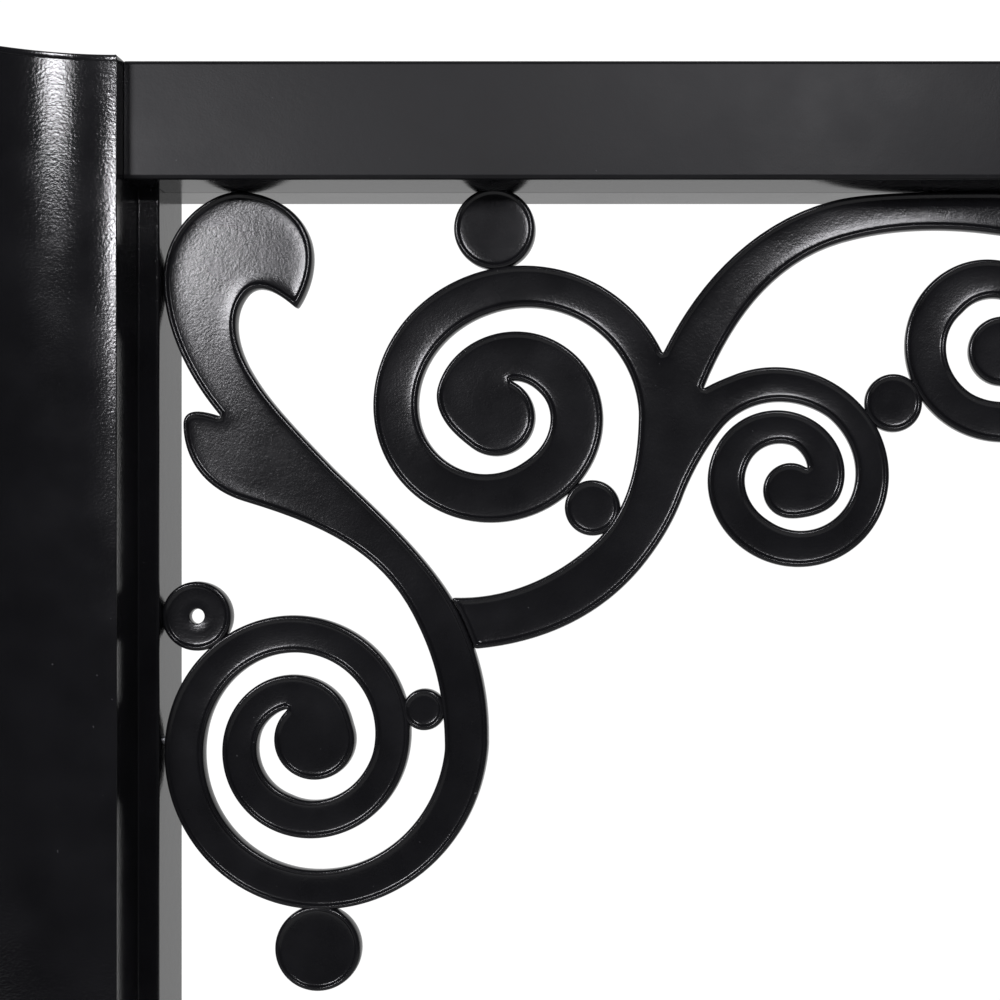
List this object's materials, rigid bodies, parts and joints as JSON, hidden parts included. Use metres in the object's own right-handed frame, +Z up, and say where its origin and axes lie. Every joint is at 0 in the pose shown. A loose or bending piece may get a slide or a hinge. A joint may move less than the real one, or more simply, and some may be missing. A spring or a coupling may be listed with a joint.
{
  "type": "garden arch",
  "caption": "Flat-topped metal garden arch: two coved posts on base plates, a box top rail and a cast scroll bracket with round discs in each corner.",
  "frame": {"origin": "on the ground, midway between the posts and midway through the depth of the base plates", "axes": "+X across the opening to the right, +Y through the arch from front to back, +Z up"},
  "size_m": [1.52, 0.18, 2.15],
  "materials": {
    "extruded_coat": "semi-gloss black powder coat on smooth extrusions",
    "cast_coat": "semi-gloss black powder coat on sand-cast metal, orange-peel grain",
    "zinc": "zinc-plated steel"
  },
  "bodies": {
    "root": {"post_left": "extruded_coat", "post_right": "extruded_coat", "post_cap_left": "extruded_coat", "post_cap_right": "extruded_coat", "base_plate_left": "extruded_coat", "base_plate_right": "extruded_coat", "foot_spigot_left": "zinc", "foot_spigot_right": "zinc", "rail_joiner_left": "zinc", "rail_joiner_right": "zinc", "leaf_scroll_left": "cast_coat", "leaf_scroll_right": "cast_coat", "branch_scroll_left": "cast_coat", "branch_scroll_right": "cast_coat", "rail_disc_left": "cast_coat", "rail_disc_right": "cast_coat", "fork_disc_left": "cast_coat", "fork_disc_right": "cast_coat", "link_disc_left": "cast_coat", "link_disc_right": "cast_coat", "drilled_disc_left": "cast_coat", "drilled_disc_right": "cast_coat", "small_disc_left": "cast_coat", "small_disc_right": "cast_coat", "drop_disc_left": "cast_coat", "drop_disc_right": "cast_coat", "scroll_studs_left": "zinc", "scroll_studs_right": "zinc", "rail_front": "extruded_coat", "rail_back": "extruded_coat", "foot_screws": "zinc", "joiner_screws": "zinc", "rail_screws": "zinc"}
  },
  "joints": []
}
